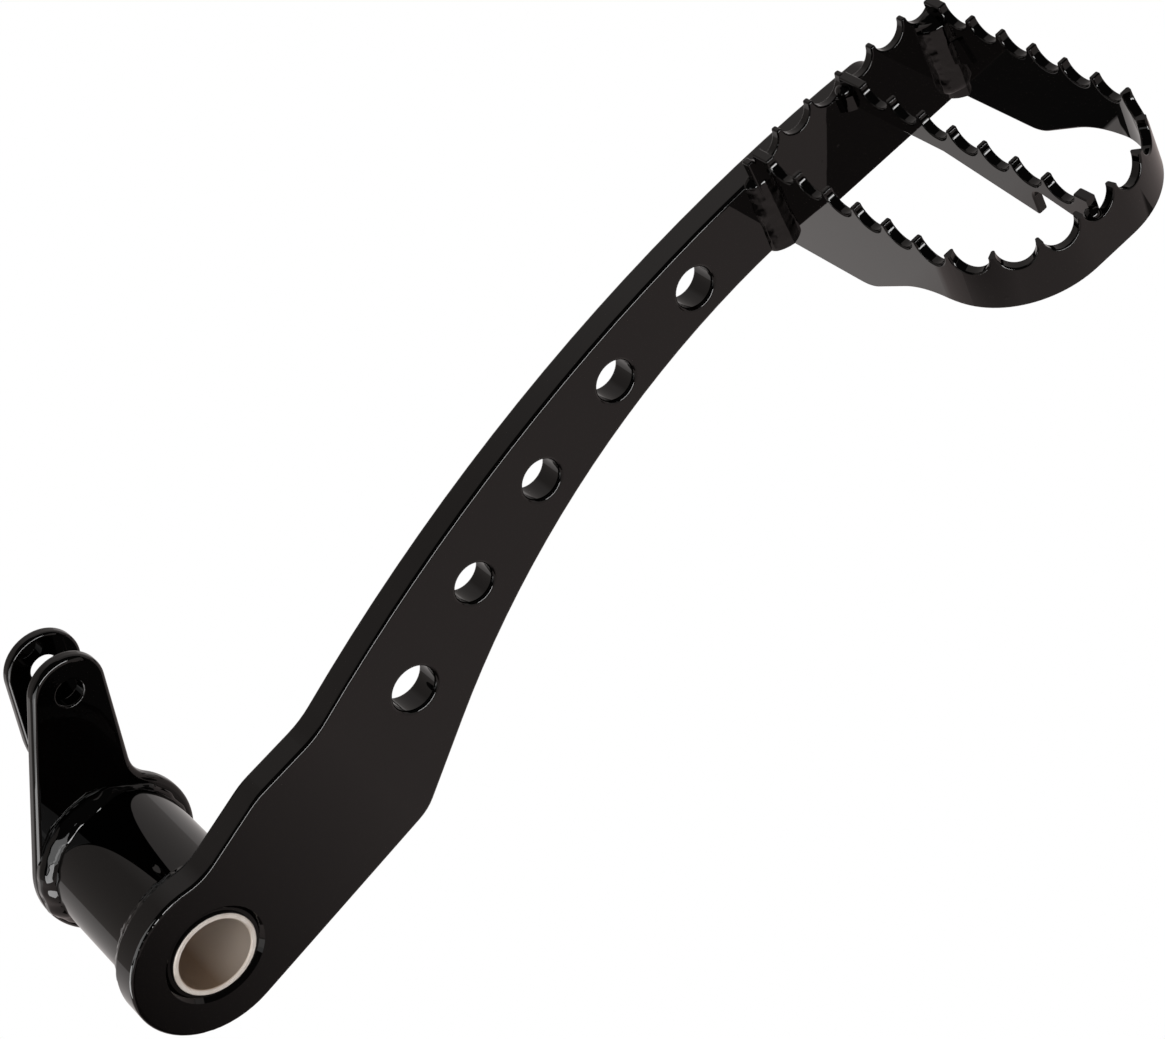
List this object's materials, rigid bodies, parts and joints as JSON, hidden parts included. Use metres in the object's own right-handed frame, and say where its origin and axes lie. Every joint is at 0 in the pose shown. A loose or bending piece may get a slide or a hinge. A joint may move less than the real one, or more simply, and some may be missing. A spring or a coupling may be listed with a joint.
{
  "type": "foot brake lever",
  "caption": "Welded foot-brake lever: flat arm with lightening holes, bushed pivot tube with a clevis, and a serrated open foot pad.",
  "frame": {"origin": "on the pivot axis, half way through the arm plate", "axes": "+X from the pivot towards the foot pad, +Y along the pivot tube away from the arm, with the pad on the -Y side, +Z the way the pad's teeth and the clevis ears point"},
  "size_m": [0.2904, 0.1496, 0.0987],
  "materials": {
    "black_coat": "gloss black powder coat on steel",
    "coated_weld": "gloss black powder coat on weld beads",
    "bushing": "pale sintered bronze, satin"
  },
  "bodies": {
    "root": {"arm_plate": "black_coat", "pivot_tube": "black_coat", "bushing_near": "bushing", "bushing_far": "bushing", "clevis_ear_near": "black_coat", "clevis_ear_far": "black_coat", "pad_back_plate": "black_coat", "pad_hoop": "black_coat", "pad_centre_bar": "black_coat", "weld_tube_arm": "coated_weld", "weld_ear_front": "coated_weld", "weld_ear_back": "coated_weld", "weld_pad_near": "coated_weld", "weld_pad_far": "coated_weld", "weld_arm_end": "coated_weld", "weld_bar_back": "coated_weld", "weld_bar_front": "coated_weld"}
  },
  "joints": []
}
